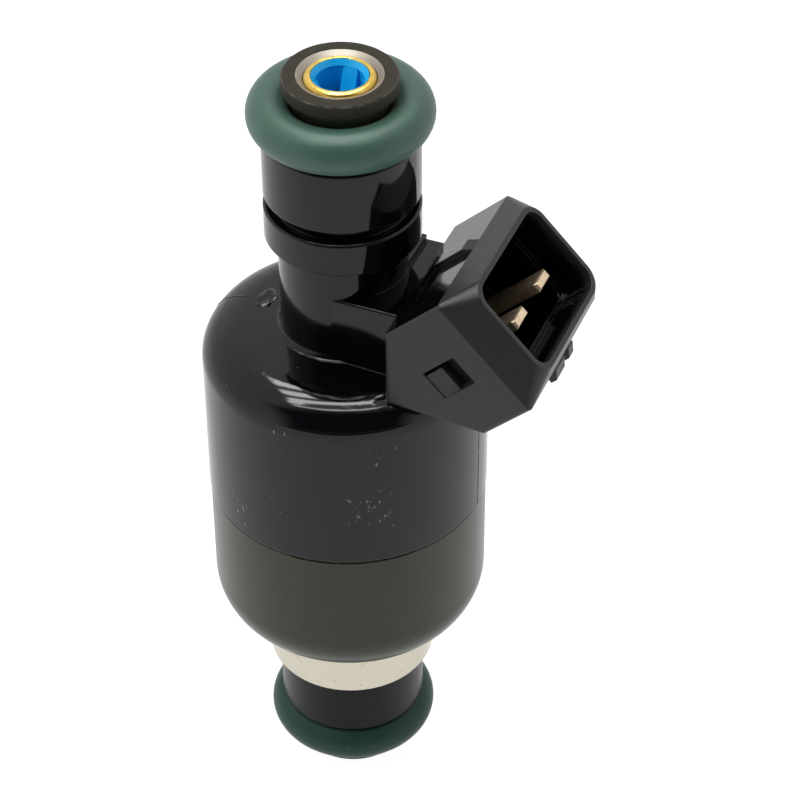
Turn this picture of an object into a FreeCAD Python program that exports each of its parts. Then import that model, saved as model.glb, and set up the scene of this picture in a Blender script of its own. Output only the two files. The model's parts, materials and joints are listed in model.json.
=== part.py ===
import FreeCAD, Part
import math
import os

# Top-feed electromagnetic fuel injector. Millimetres, +Z up along the injector's axis.
# The origin is the centre of the nozzle's end face, and the electrical connector leans out towards +X.

Vector = FreeCAD.Vector
ORIGIN = Vector(0, 0, 0)
Z_AXIS = Vector(0, 0, 1)
Y_AXIS = Vector(0, 1, 0)

# Gaps
FIT_GAP = 0.03           # between neighbours that are fixed to each other
RUN_GAP = 0.05           # radial, around the moving armature and ball
WELD_GAP = 0.01          # between the ball and the armature stem welded to it
OVERRUN = 1.0            # how far a cutting shape runs past the face that it opens
SAME = 0.001             # lengths closer than this are the same

# Overall
TOTAL_HEIGHT = 71.0      # end face of the nozzle to the top of the inlet
VALVE_LIFT = 0.2         # travel of the armature and ball

# O-rings that seal the injector in the manifold and in the fuel rail
RING_MINOR_R = 1.75
RING_MAJOR_R = 5.55
LOWER_RING_Z = 3.5
UPPER_RING_Z = 67.7

# Nozzle end
NOSE_TUBE_R = 3.76
NOSE_BORE_R = 3.05
NOSE_LIP_R = 2.4
NOSE_END_Z = 0.62
NOSE_LIP_TOP_Z = 0.88
RETAINER_R = 4.9
RETAINER_HOLE_R = 2.2
RETAINER_MOUTH_R = 2.9
RETAINER_WEB = 0.58
PLATE_THICKNESS = 0.2
ORIFICE_R = 0.15
ORIFICE_CIRCLE_R = 0.42
ORIFICE_COUNT = 4

# Seal spacer, the black sleeve above the lower O-ring
SPACER_R = 6.33
SPACER_CHAMFER = 0.25

# Spray housing, the plated ring and tube that carries the valve
SPRAY_FLANGE_R = 7.2
SPRAY_FLANGE_BOTTOM_Z = 11.3
SPRAY_FLANGE_TOP_Z = 16.5
SPIGOT_R = 6.0
SPIGOT_TOP_Z = 18.6
SPRAY_STEP_Z = 11.9

# Valve
BALL_R = 1.75
SEAT_R = 3.0
SEAT_HOLE_R = 0.8
SEAT_TOP_Z = 3.3
SEAT_CONE_START_Z = 2.3
SEAL_GROOVE_R = 2.45
SEAL_GROOVE_LOW_Z = 1.85
SEAL_GROOVE_HIGH_Z = 2.55
SEAT_SEAL_MINOR_R = 0.27
GUIDE_TOP_Z = 5.6
GUIDE_SLOT_R = 0.42
GUIDE_SLOT_COUNT = 5
STEM_R = 1.5
STEM_BORE_R = 0.8
STEM_BOTTOM_Z = 4.9
STEM_PORT_R = 0.45
STEM_PORT_Z = 7.2
ARMATURE_R = 3.9
ARMATURE_BOTTOM_Z = 12.5
ARMATURE_TOP_Z = 23.6
SPRING_SEAT_Z = 20.6
SPRING_BORE_R = 1.75
AIR_GAP_AT_LIFT = 0.06

# Spring and its adjusting sleeve
SPRING_WIRE_R = 0.2
SPRING_MEAN_R = 1.25
SPRING_TOP_Z = 30.0
SPRING_TURNS = 8
SLEEVE_TOP_Z = 38.0
SLEEVE_BORE_R = 1.05
SLEEVE_SLIT = 0.5

# Fixed core and gap ring
CORE_R = 4.5
CORE_SHOULDER_Z = 27.0
CORE_SPIGOT_Z = 43.45
CORE_TOP_Z = 48.0
GAP_RING_R = 4.55
GAP_RING_BORE_R = 3.98

# Coil
BOBBIN_BOTTOM_Z = 20.2
BOBBIN_TOP_Z = 39.0
BOBBIN_FLANGE = 1.2
BOBBIN_LOWER_R = 9.7
BOBBIN_UPPER_R = 10.2
BARREL_BORE_R = 4.62
BARREL_R = 5.5
WINDING_R = 9.4
COIL_SEAL_MINOR_R = 0.74
COIL_SEAL_MAJOR_R = 5.35
TOWER_X = 6.97
TOWER_DEPTH = 2.2
TOWER_WIDTH = 3.0
TOWER_TOP_Z = 43.2
LEAD_R = 0.2

# Solenoid housing, the olive can
CAN_R = 11.63
CAN_BOTTOM_Z = 16.6
CAN_CORNER_R = 4.8
CAN_INNER_R = 10.4
CAN_FLOOR_Z = 18.2
CAN_INNER_CORNER_R = 3.6
CAN_HOLE_R = 6.04
CAN_NECKED_R = 10.9
CAN_TOP_Z = 43.0
CAN_LIP_R = 9.6
WASHER_BOTTOM_Z = 40.4
WASHER_TOP_Z = 42.4

# Overmould
SEAM_Z = 31.14
WEB_HALF_WIDTH = 5.1
WEB_EDGE_ROUND = 0.22
WEB_STEP_X = 4.5
WEB_STEP_WIDTH = 0.65
WEB_STEP_HEIGHT = 0.5
BODY_R = 11.72
SHOULDER_LOW_Z = 45.7
SHOULDER_CORNER_R = 2.6
CROWN_CORNER_R = 9.42
CROWN_CORNER_Z = 47.03
CROWN_ROUND = 4.8
NECK_FOOT_Z = 47.33
WEB_BOTTOM_Z = 46.5
NECK_R = 5.2
COLLAR_BOTTOM_Z = 56.45
COLLAR_TOP_Z = 59.4
COLLAR_R = 6.25
GROOVE_R = 5.4
GROOVE_TOP_Z = 60.5
SEAT_NECK_R = 6.23
NECK_TOP_Z = 65.92
EDGE_BEVEL = 0.14
NECK_ROOT_ROUND = 0.5

# Inlet
TUBE_R = 3.75
TUBE_BORE_R = 2.86
TUBE_END_R = 3.38
TUBE_SHOULDER_Z = 69.9
TUBE_BEVEL = 0.32
TOP_WASHER_R = 4.54
TOP_WASHER_BEVEL = 0.14
COLLAR_RING_R = 2.83
COLLAR_RING_BORE_R = 2.26
COLLAR_RING_TOP_Z = 70.98
COLLAR_RING_HEIGHT = 2.3
COLLAR_RING_ROUND = 0.42
COLLAR_RING_LIP_ROUND = 0.08
CAGE_RIM_R = 2.22
CAGE_THROAT_R = 1.88
CAGE_POCKET_R = 2.02
CAGE_RIM_Z = 70.92
CAGE_THROAT_Z = 70.48
CAGE_WINDOW_TOP_Z = 68.2
CAGE_WINDOW_BOTTOM_Z = 59.5
CAGE_BOTTOM_Z = 57.8
CAGE_RIB_COUNT = 3
CAGE_RIB_ANGLE = 87.0
CAGE_RIB_WIDTH = 1.25
CAGE_RIB_INNER_R = 0.95
MESH_R = 2.42
MESH_LAP = 0.5           # of the cloth over the cage's foot

# Connector. Its own frame: x outwards along the plug's axis, y across, z square to both.
PLUG_TILT = 43.9
MOUTH_X = 16.35
MOUTH_Z = 55.43
BEZEL_DEPTH = 2.42
PLUG_HALF_WIDTH = 7.75
PLUG_UP = 5.28
PLUG_DOWN = 5.89
PLUG_CORNER_R = 0.5
RIM_HALF_WIDTH = 6.35
RIM_HALF_HEIGHT = 4.45
RIM_CORNER_R = 1.7
SOCKET_HALF_WIDTH = 5.9
SOCKET_HALF_HEIGHT = 4.02
SOCKET_CORNER_R = 1.3
SOCKET_STEP_DEPTH = 3.2
SOCKET_LEDGE = 0.5
SOCKET_DEPTH = 8.5
PLUG_REAR_X = 6.6
PLUG_REAR_BOTTOM_Z = 46.5
PLUG_UNDERSIDE_Z = 45.9
RIB_WIDTH = 1.5
RIB_HEIGHT = 0.45
RIB_LENGTH = 4.0
RIB_RAMP = 0.9
RIB_Y = 0.6
WINDOW_FRONT = 4.6
WINDOW_REAR = 8.0
WINDOW_TOP = 1.05
WINDOW_BOTTOM = -1.65
WINDOW_DEPTH = 1.2
CATCH_CREST_DEPTH = 0.2
CATCH_HEEL_DEPTH = 0.08
CATCH_SLOT = 0.35
LUG_FRONT = 2.9
LUG_REAR = 4.1
LUG_TOE = 0.4
LUG_HEIGHT = 1.15
LUG_WIDE_Y = -1.6
LUG_WIDE = 1.9
LUG_NARROW_Y = 1.3
LUG_NARROW = 1.0

# Terminals
BLADE_WIDTH = 2.2
BLADE_THICKNESS = 0.8
BLADE_PITCH = 5.0
BLADE_TIP_DEPTH = 1.2
BLADE_OFFSET = -0.6
BLADE_TAPER = 0.2
BLADE_TAPER_THICKNESS = 0.12
BLADE_BOTTOM_Z = 40.2

TILT_RAD = math.radians(PLUG_TILT)


def revolve(points):
    """Turn a closed (radius, height) outline once around the axis."""
    corners = [Vector(radius, 0, height) for radius, height in points]
    outline = Part.makePolygon(corners + corners[:1])
    return Part.Face(outline).revolve(ORIGIN, Z_AXIS, 360)


def ring(inner_r, outer_r, bottom, top):
    return revolve([(inner_r, bottom), (outer_r, bottom), (outer_r, top), (inner_r, top)])


def block(x_low, x_high, y_low, y_high, z_low, z_high):
    return Part.makeBox(x_high - x_low, y_high - y_low, z_high - z_low, Vector(x_low, y_low, z_low))


def prism_along_y(outline, low_y, width):
    """Extrude a closed (x, z) outline along y."""
    corners = [Vector(x, low_y, z) for x, z in outline]
    face = Part.Face(Part.makePolygon(corners + corners[:1]))
    return face.extrude(Vector(0, width, 0))


def circle_edges(shape, radius, height):
    """Edges that lie on one circle around the axis."""
    found = []
    for edge in shape.Edges:
        curve = edge.Curve
        if not isinstance(curve, Part.Circle):
            continue
        if abs(curve.Radius - radius) < SAME and abs(curve.Center.z - height) < SAME:
            found.append(edge)
    return found


def round_circles(shape, rounds):
    """Fillet the circular edges listed as (edge radius, edge height, fillet radius)."""
    for radius, height, fillet_r in rounds:
        shape = shape.makeFillet(fillet_r, circle_edges(shape, radius, height))
    return shape


def bevel_circles(shape, bevels):
    for radius, height, size in bevels:
        shape = shape.makeChamfer(size, circle_edges(shape, radius, height))
    return shape


def o_ring(major_r, minor_r, height):
    return Part.makeTorus(major_r, minor_r, Vector(0, 0, height), Z_AXIS)


def around_axis(shape, angle):
    turned = shape.copy()
    turned.rotate(ORIGIN, Z_AXIS, angle)
    return turned


def evenly_around(shape, count, start=0.0):
    return [around_axis(shape, start + 360.0 * step / count) for step in range(count)]


def place_in_plug(shape):
    """Move a shape from the connector's own frame to its place on the injector."""
    placed = shape.copy()
    placed.rotate(ORIGIN, Y_AXIS, -PLUG_TILT)
    placed.translate(Vector(MOUTH_X, 0, MOUTH_Z))
    return placed


def plug_point(outwards, upwards):
    """Row-frame x and z of a point in the connector's plane of symmetry."""
    x = MOUTH_X + outwards * math.cos(TILT_RAD) - upwards * math.sin(TILT_RAD)
    z = MOUTH_Z + outwards * math.sin(TILT_RAD) + upwards * math.cos(TILT_RAD)
    return x, z


def plug_rear_top_z():
    """Height at which the connector's upper face meets its back."""
    front_x, front_z = plug_point(-BEZEL_DEPTH, PLUG_UP)
    return front_z - (front_x - PLUG_REAR_X) * math.tan(TILT_RAD)


def rounded_outline(x, half_width, low, high, corner_r):
    """Rounded rectangle in the connector frame's y-z plane, as a wire at x."""
    y_in = half_width - corner_r
    reach = corner_r * math.sqrt(0.5)
    edges = []
    corners = [(1, low, 1), (1, high, -1), (-1, high, -1), (-1, low, 1)]
    for index, (side, edge_z, inwards) in enumerate(corners):
        centre = Vector(x, side * y_in, edge_z + inwards * corner_r)
        on_side = centre + Vector(0, side * corner_r, 0)
        on_end = centre + Vector(0, 0, -inwards * corner_r)
        middle = centre + Vector(0, side * reach, -inwards * reach)
        first, last = (on_end, on_side) if index % 2 == 0 else (on_side, on_end)
        edges.append((first, middle, last))
    pieces = []
    for index, (first, middle, last) in enumerate(edges):
        pieces.append(Part.Arc(first, middle, last).toShape())
        following = edges[(index + 1) % len(edges)][0]
        pieces.append(Part.makeLine(last, following))
    return Part.Wire(pieces)


def rounded_prism(x_low, x_high, half_width, low, high, corner_r):
    face = Part.Face(rounded_outline(x_low, half_width, low, high, corner_r))
    return face.extrude(Vector(x_high - x_low, 0, 0))


# Nozzle

def make_tip_retainer():
    height = LOWER_RING_Z - RING_MINOR_R - FIT_GAP
    outline = [
        (RETAINER_MOUTH_R, 0),
        (RETAINER_R, 0),
        (RETAINER_R, height),
        (NOSE_TUBE_R + FIT_GAP, height),
        (NOSE_TUBE_R + FIT_GAP, RETAINER_WEB),
        (RETAINER_HOLE_R, RETAINER_WEB),
        (RETAINER_HOLE_R, RETAINER_WEB / 2),
    ]
    return revolve(outline)


def make_director_plate():
    bottom = NOSE_LIP_TOP_Z + FIT_GAP
    plate = Part.makeCylinder(SEAT_R, PLATE_THICKNESS, Vector(0, 0, bottom))
    orifice = Part.makeCylinder(ORIFICE_R, PLATE_THICKNESS, Vector(ORIFICE_CIRCLE_R, 0, bottom))
    return plate.cut(evenly_around(orifice, ORIFICE_COUNT))


def make_valve_seat():
    bottom = NOSE_LIP_TOP_Z + PLATE_THICKNESS + 2 * FIT_GAP
    cone_top_r = SEAT_HOLE_R + SEAT_TOP_Z - SEAT_CONE_START_Z
    outline = [
        (SEAT_HOLE_R, bottom),
        (SEAT_R, bottom),
        (SEAT_R, SEAL_GROOVE_LOW_Z),
        (SEAL_GROOVE_R, SEAL_GROOVE_LOW_Z),
        (SEAL_GROOVE_R, SEAL_GROOVE_HIGH_Z),
        (SEAT_R, SEAL_GROOVE_HIGH_Z),
        (SEAT_R, SEAT_TOP_Z),
        (cone_top_r, SEAT_TOP_Z),
        (SEAT_HOLE_R, SEAT_CONE_START_Z),
    ]
    return revolve(outline)


def make_seat_seal():
    middle = (SEAL_GROOVE_LOW_Z + SEAL_GROOVE_HIGH_Z) / 2
    return o_ring(SEAL_GROOVE_R + SEAT_SEAL_MINOR_R + WELD_GAP, SEAT_SEAL_MINOR_R, middle)


def make_ball_guide():
    bottom = SEAT_TOP_Z + FIT_GAP
    bore_r = BALL_R + RUN_GAP
    guide = ring(bore_r, SEAT_R, bottom, GUIDE_TOP_Z)
    slot = Part.makeCylinder(GUIDE_SLOT_R, GUIDE_TOP_Z - bottom, Vector(bore_r + GUIDE_SLOT_R / 2, 0, bottom))
    return guide.cut(evenly_around(slot, GUIDE_SLOT_COUNT))


def make_spray_housing():
    outline = [
        (NOSE_LIP_R, NOSE_END_Z),
        (NOSE_TUBE_R, NOSE_END_Z),
        (NOSE_TUBE_R, SPRAY_FLANGE_BOTTOM_Z),
        (SPRAY_FLANGE_R, SPRAY_FLANGE_BOTTOM_Z),
        (SPRAY_FLANGE_R, SPRAY_FLANGE_TOP_Z),
        (SPIGOT_R, SPRAY_FLANGE_TOP_Z),
        (SPIGOT_R, SPIGOT_TOP_Z),
        (ARMATURE_R + RUN_GAP, SPIGOT_TOP_Z),
        (ARMATURE_R + RUN_GAP, SPRAY_STEP_Z),
        (NOSE_BORE_R, SPRAY_STEP_Z),
        (NOSE_BORE_R, NOSE_LIP_TOP_Z),
        (NOSE_LIP_R, NOSE_LIP_TOP_Z),
    ]
    return bevel_circles(revolve(outline), [(SPRAY_FLANGE_R, SPRAY_FLANGE_BOTTOM_Z, EDGE_BEVEL)])


def make_seal_spacer():
    bottom = LOWER_RING_Z + RING_MINOR_R + FIT_GAP
    top = SPRAY_FLANGE_BOTTOM_Z - FIT_GAP
    sleeve = ring(NOSE_TUBE_R + FIT_GAP, SPACER_R, bottom, top)
    return bevel_circles(sleeve, [(SPACER_R, bottom, SPACER_CHAMFER)])


# Moving valve

def ball_centre_z():
    """Height of the ball when it rests on the 45 degree seat cone."""
    cone_apex_z = SEAT_CONE_START_Z - SEAT_HOLE_R
    return cone_apex_z + BALL_R * math.sqrt(2) + WELD_GAP


def make_valve_ball():
    return Part.makeSphere(BALL_R, Vector(0, 0, ball_centre_z()))


def make_armature():
    outline = [
        (STEM_BORE_R, STEM_BOTTOM_Z),
        (STEM_R, STEM_BOTTOM_Z),
        (STEM_R, ARMATURE_BOTTOM_Z),
        (ARMATURE_R, ARMATURE_BOTTOM_Z),
        (ARMATURE_R, ARMATURE_TOP_Z),
        (SPRING_BORE_R, ARMATURE_TOP_Z),
        (SPRING_BORE_R, SPRING_SEAT_Z),
        (STEM_BORE_R, SPRING_SEAT_Z),
    ]
    armature = bevel_circles(revolve(outline), [(ARMATURE_R, ARMATURE_BOTTOM_Z, EDGE_BEVEL)])
    ball_space = Part.makeSphere(BALL_R + WELD_GAP, Vector(0, 0, ball_centre_z()))
    port = Part.makeCylinder(STEM_PORT_R, 2 * STEM_R, Vector(-STEM_R, 0, STEM_PORT_Z), Vector(1, 0, 0))
    return armature.cut([ball_space, port])


def make_valve_spring():
    clear_end = SPRING_WIRE_R + WELD_GAP
    start_z = SPRING_SEAT_Z + clear_end
    coil_height = SPRING_TOP_Z - clear_end - start_z
    path = Part.makeHelix(coil_height / SPRING_TURNS, coil_height, SPRING_MEAN_R)
    path.translate(Vector(0, 0, start_z))
    section = Part.makeCircle(SPRING_WIRE_R, Vector(SPRING_MEAN_R, 0, start_z), Y_AXIS)
    return Part.Wire(path).makePipeShell([Part.Wire(section)], True, True)


# Solenoid

def make_gap_ring():
    return ring(GAP_RING_BORE_R, GAP_RING_R, SPIGOT_TOP_Z + FIT_GAP, CORE_SHOULDER_Z - FIT_GAP)


def make_fixed_core():
    face_z = ARMATURE_TOP_Z + VALVE_LIFT + AIR_GAP_AT_LIFT
    outline = [
        (SPRING_BORE_R, face_z),
        (ARMATURE_R + RUN_GAP, face_z),
        (ARMATURE_R + RUN_GAP, CORE_SHOULDER_Z),
        (CORE_R, CORE_SHOULDER_Z),
        (CORE_R, CORE_SPIGOT_Z),
        (TUBE_BORE_R - FIT_GAP, CORE_SPIGOT_Z),
        (TUBE_BORE_R - FIT_GAP, CORE_TOP_Z),
        (SPRING_BORE_R, CORE_TOP_Z),
    ]
    return bevel_circles(revolve(outline), [(SPRING_BORE_R, CORE_TOP_Z, EDGE_BEVEL)])


def make_adjusting_sleeve():
    outer_r = SPRING_BORE_R - FIT_GAP
    sleeve = ring(SLEEVE_BORE_R, outer_r, SPRING_TOP_Z, SLEEVE_TOP_Z)
    slit = block(0, outer_r, -SLEEVE_SLIT / 2, SLEEVE_SLIT / 2, SPRING_TOP_Z, SLEEVE_TOP_Z)
    return sleeve.cut(slit)


def make_coil_seal():
    return o_ring(COIL_SEAL_MAJOR_R, COIL_SEAL_MINOR_R, (SPIGOT_TOP_Z + BOBBIN_BOTTOM_Z) / 2)


def tower_blocks(grow):
    """The two posts on the bobbin that hold the terminals, grown on every side."""
    posts = []
    for side in (-1, 1):
        y = side * BLADE_PITCH / 2
        x_half = TOWER_DEPTH / 2 + grow
        y_half = TOWER_WIDTH / 2 + grow
        low = BOBBIN_TOP_Z - BOBBIN_FLANGE / 2
        posts.append(block(TOWER_X - x_half, TOWER_X + x_half, y - y_half, y + y_half, low, TOWER_TOP_Z + grow))
    return posts


def lead_wires(grow):
    wires = []
    bottom = BOBBIN_TOP_Z - BOBBIN_FLANGE - FIT_GAP
    for side in (-1, 1):
        base = Vector(TOWER_X, side * BLADE_PITCH / 2, bottom)
        wires.append(Part.makeCylinder(LEAD_R + grow, BLADE_BOTTOM_Z - FIT_GAP - bottom, base))
    return wires


def make_coil_bobbin():
    outline = [
        (BARREL_BORE_R, BOBBIN_BOTTOM_Z),
        (BOBBIN_LOWER_R, BOBBIN_BOTTOM_Z),
        (BOBBIN_LOWER_R, BOBBIN_BOTTOM_Z + BOBBIN_FLANGE),
        (BARREL_R, BOBBIN_BOTTOM_Z + BOBBIN_FLANGE),
        (BARREL_R, BOBBIN_TOP_Z - BOBBIN_FLANGE),
        (BOBBIN_UPPER_R, BOBBIN_TOP_Z - BOBBIN_FLANGE),
        (BOBBIN_UPPER_R, BOBBIN_TOP_Z),
        (BARREL_BORE_R, BOBBIN_TOP_Z),
    ]
    bobbin = revolve(outline).fuse(tower_blocks(0)).removeSplitter()
    return bobbin.cut(terminal_pair(FIT_GAP) + lead_wires(FIT_GAP))


def make_coil_winding():
    bottom = BOBBIN_BOTTOM_Z + BOBBIN_FLANGE + FIT_GAP
    top = BOBBIN_TOP_Z - BOBBIN_FLANGE - 2 * FIT_GAP
    winding = ring(BARREL_R + FIT_GAP, WINDING_R, bottom, top)
    return bevel_circles(winding, [(WINDING_R, bottom, 2 * EDGE_BEVEL), (WINDING_R, top, 2 * EDGE_BEVEL)])


def make_flux_washer():
    washer = ring(CORE_R + FIT_GAP, CAN_INNER_R - FIT_GAP, WASHER_BOTTOM_Z, WASHER_TOP_Z)
    return washer.cut(tower_blocks(FIT_GAP))


def make_solenoid_housing():
    seam = SEAM_Z - FIT_GAP
    outline = [
        (CAN_HOLE_R, CAN_BOTTOM_Z),
        (CAN_R, CAN_BOTTOM_Z),
        (CAN_R, seam),
        (CAN_NECKED_R, seam),
        (CAN_NECKED_R, CAN_TOP_Z),
        (CAN_LIP_R, CAN_TOP_Z),
        (CAN_LIP_R, WASHER_TOP_Z + FIT_GAP),
        (CAN_INNER_R, WASHER_TOP_Z + FIT_GAP),
        (CAN_INNER_R, CAN_FLOOR_Z),
        (CAN_HOLE_R, CAN_FLOOR_Z),
    ]
    rounds = [
        (CAN_R, CAN_BOTTOM_Z, CAN_CORNER_R),
        (CAN_INNER_R, CAN_FLOOR_Z, CAN_INNER_CORNER_R),
    ]
    return bevel_circles(round_circles(revolve(outline), rounds), [(CAN_R, seam, EDGE_BEVEL)])


# Terminals

def blade(side, grow):
    """One blade terminal: an upright tail in the bobbin's post and a leaning blade in the socket."""
    half = BLADE_THICKNESS / 2 + grow
    y_low = side * BLADE_PITCH / 2 - BLADE_WIDTH / 2 - grow
    width = BLADE_WIDTH + 2 * grow
    tip_x = -BLADE_TIP_DEPTH + grow
    bend_x, bend_z = plug_point(0, BLADE_OFFSET)
    run = (bend_x - TOWER_X) / math.cos(TILT_RAD)
    elbow_z = bend_z - run * math.sin(TILT_RAD)
    leaning = Part.makeBox(run + tip_x, width, 2 * half, Vector(-run, y_low, BLADE_OFFSET - half))
    if grow == 0:
        leaning = taper_tip(leaning, tip_x)
    tail = block(TOWER_X - half, TOWER_X + half, y_low, y_low + width, BLADE_BOTTOM_Z - grow, elbow_z)
    elbow = Part.makeCylinder(half, width, Vector(TOWER_X, y_low, elbow_z), Y_AXIS)
    return place_in_plug(leaning).fuse([tail, elbow]).removeSplitter()


def edges_at_tip(shape, tip_x):
    return [edge for edge in shape.Edges if abs(edge.CenterOfMass.x - tip_x) < SAME]


def taper_tip(leaning, tip_x):
    """Bevel the four edges around the end of a blade."""
    flat_edges = [edge for edge in edges_at_tip(leaning, tip_x) if edge.Length > BLADE_THICKNESS + SAME]
    tapered = leaning.makeChamfer(BLADE_TAPER_THICKNESS, BLADE_TAPER, flat_edges)
    side_edges = [edge for edge in edges_at_tip(tapered, tip_x) if edge.Length < BLADE_THICKNESS]
    return tapered.makeChamfer(BLADE_TAPER, side_edges)


def terminal_pair(grow):
    return [blade(-1, grow), blade(1, grow)]


# Overmould

def make_moulded_barrel():
    """Body, shoulder and neck of the encapsulation, as one turned outline."""
    outline = [
        (0, SEAM_Z),
        (BODY_R, SEAM_Z),
        (BODY_R, SHOULDER_LOW_Z),
        (CROWN_CORNER_R, CROWN_CORNER_Z),
        (NECK_R, NECK_FOOT_Z),
        (NECK_R, COLLAR_BOTTOM_Z),
        (COLLAR_R, COLLAR_BOTTOM_Z),
        (COLLAR_R, COLLAR_TOP_Z),
        (GROOVE_R, COLLAR_TOP_Z),
        (GROOVE_R, GROOVE_TOP_Z),
        (SEAT_NECK_R, GROOVE_TOP_Z),
        (SEAT_NECK_R, NECK_TOP_Z),
        (0, NECK_TOP_Z),
    ]
    rounds = [
        (BODY_R, SHOULDER_LOW_Z, SHOULDER_CORNER_R),
        (CROWN_CORNER_R, CROWN_CORNER_Z, CROWN_ROUND),
        (NECK_R, NECK_FOOT_Z, NECK_ROOT_ROUND),
    ]
    bevels = [
        (COLLAR_R, COLLAR_BOTTOM_Z, EDGE_BEVEL),
        (COLLAR_R, COLLAR_TOP_Z, EDGE_BEVEL),
        (SEAT_NECK_R, NECK_TOP_Z, EDGE_BEVEL),
        (SEAT_NECK_R, GROOVE_TOP_Z, EDGE_BEVEL),
        (BODY_R, SEAM_Z, EDGE_BEVEL),
    ]
    return bevel_circles(round_circles(revolve(outline), rounds), bevels)


def make_plug_bracket():
    """The wedge of plastic between the neck, the shoulder and the connector's bezel."""
    front_top = plug_point(-BEZEL_DEPTH, PLUG_UP)
    front_bottom = plug_point(-BEZEL_DEPTH, -PLUG_DOWN)
    drop = (front_bottom[1] - PLUG_UNDERSIDE_Z) / math.tan(TILT_RAD)
    outline = [
        (PLUG_REAR_X, plug_rear_top_z()),
        (PLUG_REAR_X, PLUG_REAR_BOTTOM_Z),
        (front_bottom[0] - drop, PLUG_UNDERSIDE_Z),
        front_bottom,
        front_top,
    ]
    wedge = prism_along_y(outline, -PLUG_HALF_WIDTH, 2 * PLUG_HALF_WIDTH)
    front_middle_x = (front_top[0] + front_bottom[0]) / 2
    side_edges = []
    for edge in wedge.Edges:
        centre = edge.CenterOfMass
        on_side = abs(abs(centre.y) - PLUG_HALF_WIDTH) < SAME
        if on_side and abs(centre.x - front_middle_x) > SAME:
            side_edges.append(edge)
    return wedge.makeFillet(PLUG_CORNER_R, side_edges)


def make_bezel():
    back = rounded_outline(-BEZEL_DEPTH, PLUG_HALF_WIDTH, -PLUG_DOWN, PLUG_UP, PLUG_CORNER_R)
    rim = rounded_outline(0, RIM_HALF_WIDTH, -RIM_HALF_HEIGHT, RIM_HALF_HEIGHT, RIM_CORNER_R)
    return place_in_plug(Part.makeLoft([back, rim], True, True))


def make_socket_space():
    """The hollow that the mating plug enters, with a ledge part way down."""
    outer = rounded_prism(-SOCKET_STEP_DEPTH, OVERRUN, SOCKET_HALF_WIDTH,
                          -SOCKET_HALF_HEIGHT, SOCKET_HALF_HEIGHT, SOCKET_CORNER_R)
    inner_half = SOCKET_HALF_HEIGHT - SOCKET_LEDGE
    inner = rounded_prism(-SOCKET_DEPTH, OVERRUN, SOCKET_HALF_WIDTH - SOCKET_LEDGE,
                          -inner_half, inner_half, SOCKET_CORNER_R - SOCKET_LEDGE)
    return place_in_plug(outer.fuse(inner))


def latch_window(side):
    """Recess in one side wall for the plug's latch, with a sloping catch left standing in its rear half."""
    outer_y = side * (PLUG_HALF_WIDTH + OVERRUN)
    floor_y = side * (PLUG_HALF_WIDTH - WINDOW_DEPTH)
    crest_y = side * (PLUG_HALF_WIDTH - CATCH_CREST_DEPTH)
    heel_y = side * (PLUG_HALF_WIDTH - CATCH_HEEL_DEPTH)
    middle = -(WINDOW_FRONT + WINDOW_REAR) / 2
    outline = [
        (-WINDOW_FRONT, outer_y),
        (-WINDOW_FRONT, floor_y),
        (middle, floor_y),
        (middle, crest_y),
        (-WINDOW_REAR, heel_y),
        (-WINDOW_REAR, outer_y),
    ]
    corners = [Vector(x, y, WINDOW_BOTTOM) for x, y in outline]
    face = Part.Face(Part.makePolygon(corners + corners[:1]))
    recess = face.extrude(Vector(0, 0, WINDOW_TOP - WINDOW_BOTTOM))
    slot_low_y = min(floor_y, outer_y)
    slot_high_y = max(floor_y, outer_y)
    slot = block(-WINDOW_REAR, middle, slot_low_y, slot_high_y, WINDOW_TOP - CATCH_SLOT, WINDOW_TOP)
    return place_in_plug(recess.fuse(slot).removeSplitter())


def make_neck_web():
    """Block that carries the connector's back against the neck, with rounded upper edges."""
    front = PLUG_REAR_X + PLUG_CORNER_R
    top = plug_rear_top_z()
    web = block(0, front, -WEB_HALF_WIDTH, WEB_HALF_WIDTH, WEB_BOTTOM_Z, top)
    upper_edges = []
    for edge in web.Edges:
        centre = edge.CenterOfMass
        if abs(centre.z - top) < SAME and abs(abs(centre.y) - WEB_HALF_WIDTH) < SAME:
            upper_edges.append(edge)
    return web.makeFillet(WEB_EDGE_ROUND, upper_edges)


def make_web_step():
    """Low step on the web's top beside the neck, on the +Y side only."""
    top = plug_rear_top_z()
    y_high = WEB_HALF_WIDTH - WEB_EDGE_ROUND
    x_high = WEB_STEP_X + WEB_STEP_WIDTH
    return block(WEB_STEP_X, x_high, 0, y_high, top - WEB_STEP_HEIGHT, top + WEB_STEP_HEIGHT)


def make_lock_lugs():
    """Two ramps under the connector that the harness plug's lock snaps over."""
    underside = -PLUG_DOWN
    outline = [
        (-LUG_FRONT, underside + LUG_TOE),
        (-LUG_FRONT, underside - LUG_TOE),
        ((-LUG_FRONT - LUG_REAR) / 2, underside - LUG_HEIGHT),
        (-LUG_REAR, underside - LUG_HEIGHT),
        (-LUG_REAR, underside + LUG_TOE),
    ]
    lugs = []
    for low_y, width in ((LUG_WIDE_Y, LUG_WIDE), (LUG_NARROW_Y, LUG_NARROW)):
        lugs.append(place_in_plug(prism_along_y(outline, low_y, width)))
    return lugs


def make_top_rib():
    """Low rib along the connector's upper face, which ramps down to the bezel."""
    low_x = -(BEZEL_DEPTH + RIB_LENGTH)
    outline = [
        (low_x, SOCKET_HALF_HEIGHT),
        (-BEZEL_DEPTH, SOCKET_HALF_HEIGHT),
        (-BEZEL_DEPTH, PLUG_UP),
        (-(BEZEL_DEPTH + RIB_RAMP), PLUG_UP + RIB_HEIGHT),
        (low_x, PLUG_UP + RIB_HEIGHT),
    ]
    return place_in_plug(prism_along_y(outline, RIB_Y - RIB_WIDTH / 2, RIB_WIDTH))


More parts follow.
